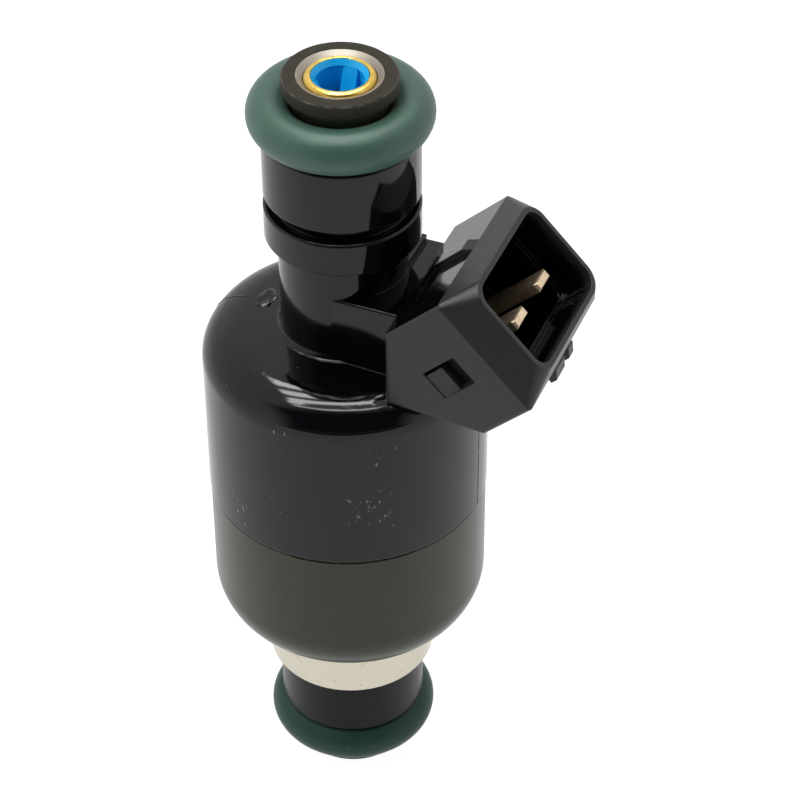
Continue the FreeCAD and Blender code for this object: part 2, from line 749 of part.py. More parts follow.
def make_core_space():
    """The hollow that the solenoid, its washer and the inlet tube fill."""
    gap = FIT_GAP
    outline = [
        (0, SEAM_Z - OVERRUN),
        (CAN_NECKED_R + gap, SEAM_Z - OVERRUN),
        (CAN_NECKED_R + gap, CAN_TOP_Z + gap),
        (CAN_LIP_R - gap, CAN_TOP_Z + gap),
        (CAN_LIP_R - gap, WASHER_TOP_Z + gap),
        (CORE_R + gap, WASHER_TOP_Z + gap),
        (CORE_R + gap, CORE_SPIGOT_Z + gap),
        (TUBE_R + gap, CORE_SPIGOT_Z + gap),
        (TUBE_R + gap, NECK_TOP_Z + OVERRUN),
        (0, NECK_TOP_Z + OVERRUN),
    ]
    return revolve(outline)


def make_overmould():
    additions = [make_neck_web(), make_web_step(), make_plug_bracket(), make_bezel(), make_top_rib()]
    solid = make_moulded_barrel().fuse(additions + make_lock_lugs())
    hollows = [make_core_space(), make_socket_space(), latch_window(-1), latch_window(1)]
    hollows += tower_blocks(FIT_GAP)
    hollows += terminal_pair(FIT_GAP)
    return solid.removeSplitter().cut(hollows)


# Inlet

def make_inlet_tube():
    outline = [
        (TUBE_BORE_R, CORE_SPIGOT_Z + FIT_GAP),
        (TUBE_R, CORE_SPIGOT_Z + FIT_GAP),
        (TUBE_R, TUBE_SHOULDER_Z),
        (TUBE_END_R, TUBE_SHOULDER_Z),
        (TUBE_END_R, TOTAL_HEIGHT),
        (TUBE_END_R - 2 * FIT_GAP, TOTAL_HEIGHT),
        (TUBE_BORE_R, TOTAL_HEIGHT - TUBE_BEVEL),
    ]
    return revolve(outline)


def make_top_washer():
    washer = ring(TUBE_END_R + FIT_GAP, TOP_WASHER_R, TUBE_SHOULDER_Z + FIT_GAP, TOTAL_HEIGHT)
    return bevel_circles(washer, [(TOP_WASHER_R, TOTAL_HEIGHT, TOP_WASHER_BEVEL)])


def make_filter_collar():
    bottom = COLLAR_RING_TOP_Z - COLLAR_RING_HEIGHT
    collar = ring(COLLAR_RING_BORE_R, COLLAR_RING_R, bottom, COLLAR_RING_TOP_Z)
    rounds = [
        (COLLAR_RING_R, COLLAR_RING_TOP_Z, COLLAR_RING_ROUND),
        (COLLAR_RING_BORE_R, COLLAR_RING_TOP_Z, COLLAR_RING_LIP_ROUND),
    ]
    return round_circles(collar, rounds)


def make_filter_cage():
    """Funnel mouth over three ribs that lean inwards, and a closed foot."""
    throat_low_z = CAGE_THROAT_Z - (CAGE_POCKET_R - CAGE_THROAT_R)
    mouth = revolve([
        (CAGE_POCKET_R, CAGE_WINDOW_TOP_Z),
        (CAGE_RIM_R, CAGE_WINDOW_TOP_Z),
        (CAGE_RIM_R, CAGE_RIM_Z),
        (CAGE_RIM_R - FIT_GAP, CAGE_RIM_Z),
        (CAGE_THROAT_R, CAGE_THROAT_Z),
        (CAGE_POCKET_R, throat_low_z),
    ])
    foot_height = CAGE_WINDOW_BOTTOM_Z - CAGE_BOTTOM_Z
    foot = Part.makeCylinder(CAGE_RIM_R, foot_height, Vector(0, 0, CAGE_BOTTOM_Z))
    ribs = evenly_around(make_cage_rib(), CAGE_RIB_COUNT, CAGE_RIB_ANGLE)
    return mouth.fuse([foot] + ribs).removeSplitter()


def make_cage_rib():
    """One rib, from the cage's foot up to the edge of the funnel."""
    foot_z = CAGE_WINDOW_BOTTOM_Z - FIT_GAP
    outline = [
        (CAGE_RIB_INNER_R, foot_z),
        (CAGE_RIM_R + OVERRUN, foot_z),
        (CAGE_RIM_R + OVERRUN, CAGE_THROAT_Z),
        (CAGE_THROAT_R, CAGE_THROAT_Z),
        (CAGE_RIB_INNER_R, CAGE_WINDOW_TOP_Z),
    ]
    rib = prism_along_y(outline, -CAGE_RIB_WIDTH / 2, CAGE_RIB_WIDTH)
    round_bar = Part.makeCylinder(CAGE_RIM_R, CAGE_THROAT_Z - foot_z, Vector(0, 0, foot_z))
    return rib.common(round_bar)


def make_filter_mesh():
    return ring(CAGE_RIM_R + FIT_GAP, MESH_R, CAGE_WINDOW_BOTTOM_Z - MESH_LAP, CAGE_WINDOW_TOP_Z)


def make_all():
    return {
        "tip_retainer": make_tip_retainer(),
        "director_plate": make_director_plate(),
        "valve_seat": make_valve_seat(),
        "seat_seal": make_seat_seal(),
        "ball_guide": make_ball_guide(),
        "spray_housing": make_spray_housing(),
        "seal_spacer": make_seal_spacer(),
        "lower_o_ring": o_ring(RING_MAJOR_R, RING_MINOR_R, LOWER_RING_Z),
        "valve_ball": make_valve_ball(),
        "armature": make_armature(),
        "valve_spring": make_valve_spring(),
        "gap_ring": make_gap_ring(),
        "fixed_core": make_fixed_core(),
        "adjusting_sleeve": make_adjusting_sleeve(),
        "coil_seal": make_coil_seal(),
        "coil_bobbin": make_coil_bobbin(),
        "coil_winding": make_coil_winding(),
        "coil_leads": Part.makeCompound(lead_wires(0)),
        "flux_washer": make_flux_washer(),
        "solenoid_housing": make_solenoid_housing(),
        "terminal_left": blade(-1, 0),
        "terminal_right": blade(1, 0),
        "overmould": make_overmould(),
        "inlet_tube": make_inlet_tube(),
        "top_washer": make_top_washer(),
        "upper_o_ring": o_ring(RING_MAJOR_R, RING_MINOR_R, UPPER_RING_Z),
        "filter_collar": make_filter_collar(),
        "filter_cage": make_filter_cage(),
        "filter_mesh": make_filter_mesh(),
    }


os.makedirs("parts", exist_ok=True)
for node, shape in make_all().items():
    shape.exportStep(f"parts/{node}.step")
    print(f"{node:18} solids {len(shape.Solids)} volume {shape.Volume:9.2f} valid {shape.isValid()}")
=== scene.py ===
import json
import math

import bmesh
import bpy
from mathutils import Matrix, Vector, noise


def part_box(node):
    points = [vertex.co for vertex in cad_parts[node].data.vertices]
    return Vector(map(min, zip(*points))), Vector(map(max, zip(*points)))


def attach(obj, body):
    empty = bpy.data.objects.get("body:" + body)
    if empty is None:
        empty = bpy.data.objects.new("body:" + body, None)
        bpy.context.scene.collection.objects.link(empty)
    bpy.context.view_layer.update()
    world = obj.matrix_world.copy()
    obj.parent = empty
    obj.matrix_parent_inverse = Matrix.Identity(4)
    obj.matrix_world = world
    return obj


# Looks of a top-feed fuel injector: procedural materials for every part, and the small moulding marks on
# its plastic body. Lengths are millimetres in the names below and become metres when they meet Blender.

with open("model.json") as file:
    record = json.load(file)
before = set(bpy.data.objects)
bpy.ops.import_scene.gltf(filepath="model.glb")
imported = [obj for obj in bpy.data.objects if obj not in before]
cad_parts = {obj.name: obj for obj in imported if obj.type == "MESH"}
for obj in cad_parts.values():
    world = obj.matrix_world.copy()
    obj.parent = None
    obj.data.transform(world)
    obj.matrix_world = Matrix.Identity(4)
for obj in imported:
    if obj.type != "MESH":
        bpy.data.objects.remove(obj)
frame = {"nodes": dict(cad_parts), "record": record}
bpy.context.view_layer.update()

MM = 0.001
BODY = "injector_body"


def lowest(node):
    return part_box(node)[0] / MM


def highest(node):
    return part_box(node)[1] / MM


# Places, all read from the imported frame
SEAM_Z = lowest("overmould").z
BODY_R = -lowest("overmould").x
WASHER_R = highest("top_washer").y
TOP_Z = highest("top_washer").z
CLOTH_R = highest("filter_mesh").y

# Proportions of the moulded body that its box doesn't tell. The shoulder and the crown are arcs in the
# barrel's profile, with centres given as radius and height.
NECK_R = 5.2
NECK_FOOT_Z = 47.33
SHOULDER_CENTRE = (9.12, 44.2)
SHOULDER_ROUND = 2.6
CROWN_CENTRE = (7.975, 42.321)
CROWN_ROUND = 4.8
CROWN_START = 60.0
CROWN_END = 86.0
PLUG_UNDERSIDE_Z = 45.9
PLUG_REAR_X = 6.6
PLUG_TILT = 43.9
PLUG_UP = 5.28
BEZEL_DEPTH = 2.42
SOCKET_HALF_WIDTH = 5.9
SOCKET_HALF_HEIGHT = 4.02
MOUTH_X = 16.35
MOUTH_Z = 55.43

# Scuffed patches on the barrel's wall: turn in degrees, height, half turn, half height
SCUFFS = [(-96, 43.6, 7, 1.0), (-52, 42.0, 6, 1.2), (-58, 36.5, 10, 2.0), (-118, 34.0, 6, 1.8)]


# Node trees


class Signal:
    """The output of a shader node. Arithmetic on it adds math nodes."""

    def __init__(self, graph, socket):
        self.graph = graph
        self.socket = socket

    def math(self, operation, *others):
        node = self.graph.tree.nodes.new("ShaderNodeMath")
        node.operation = operation
        for socket, value in zip(node.inputs, (self, *others)):
            self.graph.plug(socket, value)
        return Signal(self.graph, node.outputs[0])

    def __add__(self, other):
        return self.math("ADD", other)

    def __sub__(self, other):
        return self.math("SUBTRACT", other)

    def __mul__(self, other):
        return self.math("MULTIPLY", other)

    def inverse(self):
        """One minus the signal."""
        return (self * -1.0) + 1.0

    def size(self):
        return self.math("ABSOLUTE")

    def lower_of(self, other):
        return self.math("MINIMUM", other)

    def higher_of(self, other):
        return self.math("MAXIMUM", other)

    def rise(self, low, high):
        """0 below low, 1 above high, and smooth between them."""
        return self.graph.add(
            "ShaderNodeMapRange",
            {"Value": self, "From Min": low, "From Max": high},
            interpolation_type="SMOOTHSTEP",
        )

    def band(self, middle, half_width, blur):
        """1 within half_width of middle, falling to 0 over blur."""
        return (self - middle).size().rise(half_width, half_width + blur).inverse()


class Graph:
    """A node tree that is cleared and built up again."""

    def __init__(self, tree):
        self.tree = tree
        tree.nodes.clear()

    def plug(self, socket, value):
        if isinstance(value, Signal):
            self.tree.links.new(value.socket, socket)
        else:
            socket.default_value = value

    def add(self, kind, inputs, output=0, **settings):
        node = self.tree.nodes.new(kind)
        for name, value in settings.items():
            setattr(node, name, value)
        for name, value in inputs.items():
            self.plug(node.inputs[name], value)
        return Signal(self, node.outputs[output])

    def place(self):
        """Position on the object in millimetres, which moves with its body."""
        metres = self.add("ShaderNodeTexCoord", {}, "Object")
        return self.add("ShaderNodeVectorMath", {0: metres, "Scale": 1 / MM}, operation="SCALE")

    def stretch(self, vector, x, y, z):
        return self.add("ShaderNodeVectorMath", {0: vector, 1: (x, y, z)}, operation="MULTIPLY")

    def axes(self, vector):
        node = self.tree.nodes.new("ShaderNodeSeparateXYZ")
        self.plug(node.inputs[0], vector)
        return [Signal(self, socket) for socket in node.outputs]

    def grain(self, vector, scale, detail=2.0, roughness=0.5):
        inputs = {"Vector": vector, "Scale": scale, "Detail": detail, "Roughness": roughness}
        return self.add("ShaderNodeTexNoise", inputs)

    def specks(self, vector, pitch, radius, share):
        """Small round spots, one in a share of the cells of a grid of the given pitch."""
        node = self.tree.nodes.new("ShaderNodeTexVoronoi")
        self.plug(node.inputs["Vector"], vector)
        node.inputs["Scale"].default_value = 1 / pitch
        distance = Signal(self, node.outputs["Distance"]) * pitch
        chance = self.axes(Signal(self, node.outputs["Color"]))[0]
        return distance.rise(radius * 0.5, radius).inverse() * chance.rise(1 - share, 1 - share + 0.01)

    def blend(self, share, under, over):
        """Colour under, covered with colour over where share is 1."""
        node = self.tree.nodes.new("ShaderNodeMix")
        node.data_type = "RGBA"
        by_name = {"Factor": share, "A": under, "B": over}
        for socket in node.inputs:
            if socket.enabled and socket.name in by_name:
                value = by_name[socket.name]
                self.plug(socket, value if isinstance(value, Signal) else (*value, 1.0))
        return Signal(self, next(socket for socket in node.outputs if socket.enabled))

    def relief(self, height, edge_round=0.0):
        """A normal from a height in millimetres, with sharp edges softened over edge_round."""
        inputs = {"Height": height, "Distance": MM, "Strength": 1.0}
        if edge_round:
            inputs["Normal"] = self.add("ShaderNodeBevel", {"Radius": edge_round * MM}, samples=6)
        return self.add("ShaderNodeBump", inputs)


# Masks: signals that say where on the object something shows


def radius_of(graph, place):
    x, y, _ = graph.axes(place)
    return (x * x + y * y).math("SQRT")


def turn_of(graph, place):
    """Angle around the injector's axis in degrees, 0 towards the connector."""
    x, y, _ = graph.axes(place)
    return y.math("ARCTAN2", x) * math.degrees(1)


def off_circle(radius, z, centre, circle_r):
    """Distance outside a circle around the barrel's profile."""
    across = radius - centre[0]
    up = z - centre[1]
    return (across * across + up * up).math("SQRT") - circle_r


def connector_share(graph, place):
    """1 on the connector, 0 on the barrel, the neck and the web between them."""
    x, _, z = graph.axes(place)
    radius = radius_of(graph, place)
    beyond_web = z.rise(NECK_FOOT_Z, NECK_FOOT_Z + 0.1) * x.rise(PLUG_REAR_X - 0.05, PLUG_REAR_X + 0.05)
    off_shoulder = off_circle(radius, z, SHOULDER_CENTRE, SHOULDER_ROUND)
    off_crown = off_circle(radius, z, CROWN_CENTRE, CROWN_ROUND)
    across = radius - SHOULDER_CENTRE[0]
    up = z - SHOULDER_CENTRE[1]
    on_crown = (up - across * math.tan(math.radians(CROWN_START))).rise(-0.05, 0.05)
    off = off_shoulder + (off_crown - off_shoulder) * on_crown
    beyond_shoulder = off.rise(0.05, 0.12) * up.rise(0.0, 0.1) * across.rise(0.0, 0.1)
    return beyond_web.higher_of(beyond_shoulder)


def polished_share(graph, place):
    """1 on the connector's upper face and inside its socket, which are as glossy as the barrel."""
    x, y, z = graph.axes(place)
    lean = math.radians(PLUG_TILT)
    upwards = (z - MOUTH_Z) * math.cos(lean) - (x - MOUTH_X) * math.sin(lean)
    outwards = (x - MOUTH_X) * math.cos(lean) + (z - MOUTH_Z) * math.sin(lean)
    behind_bezel = outwards.rise(-BEZEL_DEPTH - 0.03, -BEZEL_DEPTH).inverse()
    top = upwards.rise(PLUG_UP - 0.06, PLUG_UP - 0.03) * behind_bezel
    within_width = y.size().rise(SOCKET_HALF_WIDTH + 0.1, SOCKET_HALF_WIDTH + 0.3).inverse()
    within_height = upwards.size().rise(SOCKET_HALF_HEIGHT + 0.1, SOCKET_HALF_HEIGHT + 0.3).inverse()
    below_rim = outwards.rise(-1.2, -0.2).inverse()
    return top.higher_of(within_width * within_height * below_rim)


def scuff(graph, place, turn, height, half_turn, half_height):
    """Short broken scratches in a patch of the barrel's wall."""
    _, _, z = graph.axes(place)
    around = turn_of(graph, place).band(turn, half_turn * 0.5, half_turn)
    here = around * z.band(height, half_height * 0.5, half_height)
    strokes = graph.grain(graph.stretch(place, 1.0, 1.0, 0.4), 3.2)
    return here * strokes.rise(0.63, 0.72)


# Materials. Each one takes a graph and returns the inputs of its principled shader.


def moulded_black(graph):
    """Glossy black nylon on the barrel, spark-textured satin on the connector."""
    place = graph.place()
    satin = connector_share(graph, place) * polished_share(graph, place).inverse()
    tool_texture = graph.grain(place, 6.0, detail=3.0, roughness=0.6)
    flow = graph.grain(graph.stretch(place, 1.0, 1.0, 0.35), 0.35)
    streaks = graph.grain(graph.stretch(place, 2.5, 2.5, 0.4), 1.2)
    dust = graph.specks(place, 0.9, 0.06, 0.05)
    handled = graph.grain(place, 0.14).rise(0.54, 0.62)
    flecks = graph.specks(graph.stretch(place, 1.0, 1.0, 0.4), 1.1, 0.09, 0.2) * handled
    marks = dust + flecks
    for patch in SCUFFS:
        marks = marks + scuff(graph, place, *patch)
    marks = marks.lower_of(1.0)
    black = graph.blend(satin, (0.0022, 0.0025, 0.0036), (0.0260, 0.0265, 0.0290))
    colour = graph.blend(marks * 0.6, black, (0.30, 0.30, 0.29))
    gloss = graph.grain(place, 1.4, detail=3.0) * 0.05 + streaks.rise(0.5, 0.7) * handled * 0.12 + 0.05
    rough = graph.grain(place, 2.0) * 0.10 + 0.30
    x, y, _ = graph.axes(place)
    parting = y.size().rise(0.03, 0.10).inverse() * x.rise(-BODY_R * 0.8, -BODY_R * 0.75).inverse()
    height = tool_texture * satin * 0.016 + flow * satin.inverse() * 0.016 + parting * 0.04
    return {
        "Base Color": colour,
        "Roughness": gloss + (rough - gloss) * satin + marks * 0.3,
        "Specular IOR Level": satin * -0.05 + 0.36,
        "Normal": graph.relief(height, edge_round=0.16),
    }


def spacer_black(graph):
    place = graph.place()
    fine = graph.grain(place, 5.0, detail=3.0)
    dust = graph.specks(place, 0.8, 0.06, 0.08)
    colour = graph.blend(dust * 0.6, (0.0030, 0.0030, 0.0036), (0.25, 0.25, 0.24))
    return {
        "Base Color": colour,
        "Roughness": fine * 0.15 + 0.20,
        "Specular IOR Level": 0.18,
        "Normal": graph.relief(fine * 0.008, edge_round=0.1),
    }


def olive_coat(graph):
    """Olive passivated zinc on the drawn steel can, with a soft sheen and rubbed edges."""
    place = graph.place()
    _, _, z = graph.axes(place)
    mottle = graph.grain(place, 0.5, detail=4.0)
    speckle = graph.grain(place, 6.0)
    scratches = graph.specks(graph.stretch(place, 0.35, 0.35, 1.6), 0.8, 0.05, 0.2)
    pits = graph.specks(place, 0.8, 0.07, 0.1)
    edge_line = (z - SEAM_Z).size().rise(0.0, 0.25).inverse() * graph.grain(place, 2.5).rise(0.5, 0.7)
    olive = graph.blend(mottle, (0.009, 0.013, 0.002), (0.017, 0.021, 0.005))
    olive = graph.blend(speckle.rise(0.45, 0.7) * 0.35, olive, (0.032, 0.036, 0.014))
    worn = (scratches * 0.25 + pits * 0.4 + edge_line * 0.4).lower_of(1.0)
    colour = graph.blend(worn, olive, (0.20, 0.20, 0.17))
    return {
        "Base Color": colour,
        "Metallic": worn * 0.5,
        "Specular IOR Level": 0.42,
        "Roughness": speckle * 0.10 + 0.20,
        "Normal": graph.relief(speckle * 0.004 - scratches * 0.006, edge_round=0.1),
    }


def dark_coat(graph):
    """Blackened steel washer whose upper edge is rubbed bright, a light line that also serves as a painted
    highlight, and whose top face is painted darker as shade.
    """
    place = graph.place()
    _, _, z = graph.axes(place)
    radius = radius_of(graph, place)
    patches = graph.grain(place, 1.5, detail=4.0)
    # Rubbed metal along the upper edge; its light colour also serves as a painted highlight line.
    edge = (radius - WASHER_R).rise(-0.16, -0.06) * (z - TOP_Z).rise(-0.10, -0.02)
    edge_line = edge * graph.grain(place, 1.6, detail=4.0, roughness=0.6).rise(0.40, 0.62)
    # Painted shade: the top face gets a darker base than the side, to hold it down under the light from
    # above.
    top = (z - TOP_Z).rise(-0.1, -0.01)
    base = graph.blend(top, (0.024, 0.024, 0.019), (0.015, 0.012, 0.005))
    base = graph.blend(patches.rise(0.4, 0.75) * 0.5, base, (0.036, 0.031, 0.019))
    return {
        "Base Color": graph.blend(edge_line * 0.7, base, (0.34, 0.32, 0.25)),
        "Metallic": edge_line * 0.5,
        "Specular IOR Level": 0.2,
        "Roughness": patches * 0.2 + 0.36 - edge_line * 0.12,
        "Normal": graph.relief(graph.grain(place, 8.0) * 0.006, edge_round=0.08),
    }


def nickel_plate(graph):
    """Warm bright plating with faint turning rings and brown handling stains."""
    place = graph.place()
    stains = graph.grain(place, 0.45, detail=5.0, roughness=0.65).rise(0.54, 0.85)
    spots = graph.specks(place, 0.7, 0.09, 0.12)
    rings = graph.grain(graph.stretch(place, 0.05, 0.05, 6.0), 1.0, detail=3.0)
    metal = graph.blend(stains, (0.66, 0.62, 0.51), (0.46, 0.39, 0.28))
    return {
        "Base Color": graph.blend(spots * 0.7, metal, (0.18, 0.14, 0.09)),
        "Metallic": 1.0,
        "Roughness": stains * 0.15 + rings * 0.10 + 0.14,
        "Normal": graph.relief(rings * 0.006, edge_round=0.1),
    }


def green_rubber(graph):
    """Dull green rubber with flecks of dust and patchy bloom. The nozzle's ring is painted darker than the
    upper ring, as shade from the body above it.
    """
    place = graph.place()
    _, _, z = graph.axes(place)
    bloom = graph.grain(place, 0.35, detail=4.0)
    fine = graph.grain(place, 9.0)
    dust = graph.specks(place, 0.8, 0.05, 0.06)
    # Painted shade: below the seam the green is darker, for the shade the body casts on the nozzle's ring.
    # The noise adds patchy bloom.
    shade_and_bloom = z.rise(SEAM_Z, SEAM_Z + 10) * 0.85 + bloom.rise(0.3, 0.7) * 0.15
    green = graph.blend(shade_and_bloom, (0.017, 0.052, 0.040), (0.058, 0.124, 0.092))
    return {
        "Base Color": graph.blend(dust * 0.6, green, (0.40, 0.47, 0.42)),
        "Roughness": fine * 0.12 + 0.34,
        "Specular IOR Level": z.rise(SEAM_Z, SEAM_Z + 10) * 0.18 + 0.2,
        "Normal": graph.relief(fine * 0.006 + bloom * 0.05),
    }


def bright_steel(graph):
    place = graph.place()
    rings = graph.grain(graph.stretch(place, 0.06, 0.06, 8.0), 1.0, detail=3.0)
    tint = graph.grain(place, 0.8, detail=3.0)
    return {
        "Base Color": graph.blend(tint, (0.36, 0.33, 0.28), (0.27, 0.24, 0.20)),
        "Metallic": 1.0,
        "Roughness": rings * 0.16 + 0.36,
        "Normal": graph.relief(rings * 0.006, edge_round=0.06),
    }


def core_steel(graph):
    place = graph.place()
    rings = graph.grain(graph.stretch(place, 0.08, 0.08, 5.0), 1.0, detail=4.0)
    tint = graph.grain(place, 1.1, detail=3.0)
    return {
        "Base Color": graph.blend(tint, (0.44, 0.43, 0.41), (0.34, 0.33, 0.32)),
        "Metallic": 1.0,
        "Roughness": rings * 0.2 + 0.3,
        "Normal": graph.relief(rings * 0.01, edge_round=0.06),
    }


def spring_steel(graph):
    place = graph.place()
    draw_marks = graph.grain(place, 6.0, detail=3.0)
    return {
        "Base Color": graph.blend(draw_marks, (0.55, 0.53, 0.50), (0.30, 0.28, 0.26)),
        "Metallic": 1.0,
        "Roughness": draw_marks * 0.2 + 0.22,
        "Normal": graph.relief(draw_marks * 0.004),
    }


def bobbin_plastic(graph):
    place = graph.place()
    glass_fibre = graph.grain(graph.stretch(place, 1.0, 1.0, 0.3), 4.0, detail=3.0)
    return {
        "Base Color": graph.blend(glass_fibre, (0.46, 0.42, 0.33), (0.58, 0.54, 0.44)),
        "Roughness": glass_fibre * 0.15 + 0.42,
        "Normal": graph.relief(glass_fibre * 0.01, edge_round=0.08),
    }


def copper_wire(graph):
    """Enamelled wire, laid in close turns."""
    place = graph.place()
    _, _, z = graph.axes(place)
    pitch = 0.25
    turns = (z * (2 * math.pi / pitch)).math("SINE")
    tint = graph.grain(place, 1.2)
    return {
        "Base Color": graph.blend(tint, (0.52, 0.16, 0.05), (0.66, 0.26, 0.10)),
        "Metallic": 0.85,
        "Roughness": tint * 0.12 + 0.2,
        "Normal": graph.relief(turns * 0.04),
    }


def gold_plate(graph):
    """Flash gold over brass, dulled in patches."""
    place = graph.place()
    dull = graph.grain(place, 1.6, detail=4.0)
    draw_marks = graph.grain(graph.stretch(place, 1.0, 7.0, 1.0), 1.5, detail=3.0)
    return {
        "Base Color": graph.blend(dull.rise(0.45, 0.75), (0.88, 0.70, 0.48), (0.72, 0.52, 0.32)),
        "Metallic": 0.8,
        "Roughness": dull * 0.15 + draw_marks * 0.15 + 0.18,
        "Normal": graph.relief(draw_marks * 0.003, edge_round=0.12),
    }


def brass_ring(graph):
    place = graph.place()
    rings = graph.grain(graph.stretch(place, 0.3, 0.3, 9.0), 1.0, detail=3.0)
    tint = graph.grain(place, 1.0, detail=3.0)
    return {
        "Base Color": graph.blend(tint.rise(0.35, 0.7), (0.82, 0.58, 0.15), (0.66, 0.44, 0.09)),
        "Metallic": 1.0,
        "Roughness": rings * 0.12 + 0.22,
        "Normal": graph.relief(rings * 0.0015),
    }


def blue_plastic(graph):
    place = graph.place()
    haze = graph.grain(place, 1.3, detail=3.0)
    return {
        "Base Color": graph.blend(haze, (0.002, 0.42, 0.88), (0.006, 0.54, 0.98)),
        "Roughness": haze * 0.12 + 0.34,
        "Normal": graph.relief(graph.grain(place, 6.0) * 0.01, edge_round=0.06),
    }


def filter_cloth(graph):
    """Fine blue nylon cloth: threads run up the drum and around it."""
    place = graph.place()
    _, _, z = graph.axes(place)
    pitch = 0.12
    up = (z * (2 * math.pi / pitch)).math("SINE")
    around = (turn_of(graph, place) * (math.radians(1) * 2 * math.pi * CLOTH_R / pitch)).math("SINE")
    weave = up * around * 0.5 + 0.5
    return {
        "Base Color": graph.blend(weave, (0.01, 0.10, 0.24), (0.03, 0.22, 0.48)),
        "Roughness": weave * 0.2 + 0.5,
        "Normal": graph.relief(weave * 0.03),
    }


RECIPES = [
    moulded_black, spacer_black, olive_coat, dark_coat, nickel_plate, green_rubber, bright_steel, core_steel,
    spring_steel, bobbin_plastic, copper_wire, gold_plate, brass_ring, blue_plastic, filter_cloth,
]


def material(recipe):
    made = bpy.data.materials.new("look_" + recipe.__name__)
    made.use_nodes = True
    graph = Graph(made.node_tree)
    shader = graph.add("ShaderNodeBsdfPrincipled", recipe(graph))
    output = graph.tree.nodes.new("ShaderNodeOutputMaterial")
    graph.plug(output.inputs["Surface"], shader)
    return made


def paint_frame(looks):
    """Gives every CAD node the look named by its material slot in the record."""
    for row in frame["record"]["subparts"]:
        node = frame["nodes"][row["node"]]
        for slot in node.material_slots:
            slot.material = looks[row["material_slot"]]


# Moulding marks on the plastic body


def mesh_data(name, mesh):
    data = bpy.data.meshes.new(name)
    mesh.to_mesh(data)
    mesh.free()
    return data


def new_piece(name, rings, look, smooth):
    """A closed skin over rings of points, added to the moulded body."""
    mesh = bmesh.new()
    rows = [[mesh.verts.new(point * MM) for point in ring] for ring in rings]
    count = len(rows[0])
    for low, high in zip(rows, rows[1:]):
        for one in range(count):
            two = (one + 1) % count
            mesh.faces.new((low[one], low[two], high[two], high[one]))
    mesh.faces.new(rows[0])
    mesh.faces.new(rows[-1])
    bmesh.ops.recalc_face_normals(mesh, faces=mesh.faces)
    data = mesh_data(name, mesh)
    data.polygons.foreach_set("use_smooth", [smooth] * len(data.polygons))
    piece = bpy.data.objects.new(name, data)
    bpy.context.scene.collection.objects.link(piece)
    data.materials.append(look)
    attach(piece, BODY)


def arc(centre, circle_r, start, end, steps):
    """Points on a circle between two angles in degrees."""
    points = []
    for step in range(steps + 1):
        angle = math.radians(start + (end - start) * step / steps)
        points.append((centre[0] + circle_r * math.cos(angle), centre[1] + circle_r * math.sin(angle)))
    return points


def shoulder_profile():
    """Radius and height along the barrel from the seam, over the shoulder, to the foot of the neck."""
    wall_steps = 30
    wall_height = SHOULDER_CENTRE[1] - SEAM_Z
    wall = [(BODY_R, SEAM_Z + wall_height * step / wall_steps) for step in range(wall_steps)]
    shoulder = arc(SHOULDER_CENTRE, SHOULDER_ROUND, 0.0, CROWN_START, steps=10)
    crown = arc(CROWN_CENTRE, CROWN_ROUND, CROWN_START, CROWN_END, steps=8)
    return wall + shoulder + crown + [(NECK_R + 0.6, NECK_FOOT_Z - 0.04)]


def flash_ridge(name, points, side, look):
    """A thin uneven ridge of flash along a profile, on the +X side (1) or the -X side (-1)."""
    half_width = 0.09
    height = 0.04
    sunk = -0.04
    flat = 0.35
    rings = []
    for index, (radius, z) in enumerate(points):
        ahead = points[min(index + 1, len(points) - 1)]
        behind = points[max(index - 1, 0)]
        along = Vector((ahead[0] - behind[0], ahead[1] - behind[1])).normalized()
        outwards = Vector((along.y, -along.x))
        uneven = 0.75 + 0.5 * noise.noise(Vector((radius * 3, side * 5, z * 3)))
        ring = []
        for across, rise in ((-1, sunk), (-flat, height * uneven), (flat, height * uneven), (1, sunk)):
            out_r = radius + outwards.x * rise
            out_z = z + outwards.y * rise
            ring.append(Vector((side * out_r, across * half_width * uneven, out_z)))
        rings.append(ring)
    new_piece(name, rings, look, smooth=False)


def gate_mark(look):
    """The torn stub where the injection gate broke off, on the shoulder opposite the connector."""
    middle = Vector((-(NECK_R + 1.8), 0.2, NECK_FOOT_Z - 0.13))
    narrow = 0.8
    wide = 1.2
    points_around = 28
    radius_and_rise = ((1.1, -0.1), (1.0, 0.03), (0.75, 0.14), (0.45, 0.05))
    rings = []
    for radius, rise in radius_and_rise:
        ring = []
        for step in range(points_around):
            angle = 2 * math.pi * step / points_around
            torn = noise.noise(Vector((math.cos(angle) * 1.5, math.sin(angle) * 1.5, radius * 2)))
            reach = radius * (1 + 0.25 * torn)
            lift = rise * (1 + 2.2 * torn) if rise > 0 else rise
            out = Vector((reach * math.cos(angle) * narrow, reach * math.sin(angle) * wide, lift))
            ring.append(middle + out)
        rings.append(ring)
    new_piece("gate_mark", rings, look, smooth=True)


def moulding_marks(look):
    profile = shoulder_profile()
    below_plug = [point for point in profile if point[1] < PLUG_UNDERSIDE_Z - 0.1]
    flash_ridge("parting_line_front", below_plug, 1, look)
    clear_of_wall = [point for point in profile if point[0] < BODY_R - 0.06]
    flash_ridge("parting_line_back", clear_of_wall, -1, look)
    gate_mark(look)


# Stage, light and camera

CAMERA_AZIMUTH = math.radians(22.35)
CAMERA_ELEVATION = math.radians(40.56)
CAMERA_ROLL = math.radians(-0.32)
CAMERA_DISTANCE = 228.8
CAMERA_LENS = 124.16
CAMERA_SENSOR = 36.0
CAMERA_TARGET = Vector((4.065, 1.671, 38.64))

